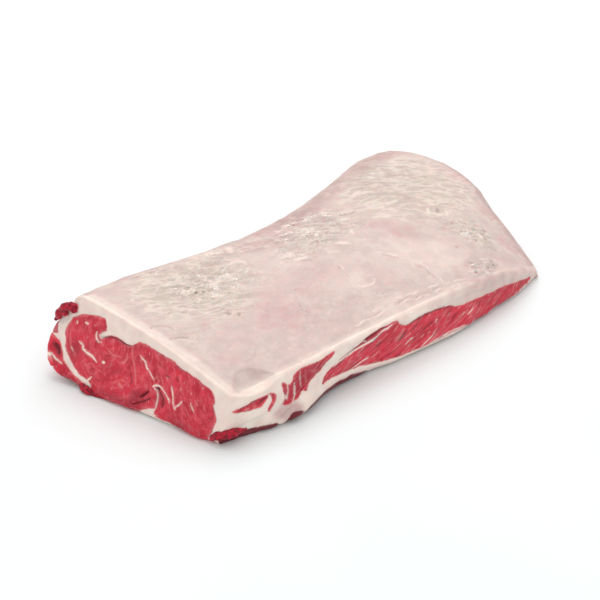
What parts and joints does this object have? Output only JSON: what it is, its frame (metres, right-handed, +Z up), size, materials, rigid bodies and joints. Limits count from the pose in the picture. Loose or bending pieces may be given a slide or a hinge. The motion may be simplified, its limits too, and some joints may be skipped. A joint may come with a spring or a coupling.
{
  "type": "raw beef striploin",
  "caption": "Whole boneless raw beef striploin lying fat side up: a long red muscle under a pale fat cap, cut square at the rib end.",
  "frame": {"origin": "middle of the object's box at the level it rests on", "axes": "+X along the loin from the cut rib end to the tapered rump end, +Y from the cut front side to the rounded back side, +Z up through the fat cap"},
  "size_m": [0.4882, 0.2366, 0.0758],
  "materials": {
    "lean_meat": "moist raw muscle, fine grain with thin white marbling",
    "cap_fat": "firm pinkish white fat with a thin moist membrane"
  },
  "bodies": {
    "root": {"lean": "lean_meat", "fat_cap": "cap_fat"}
  },
  "joints": []
}
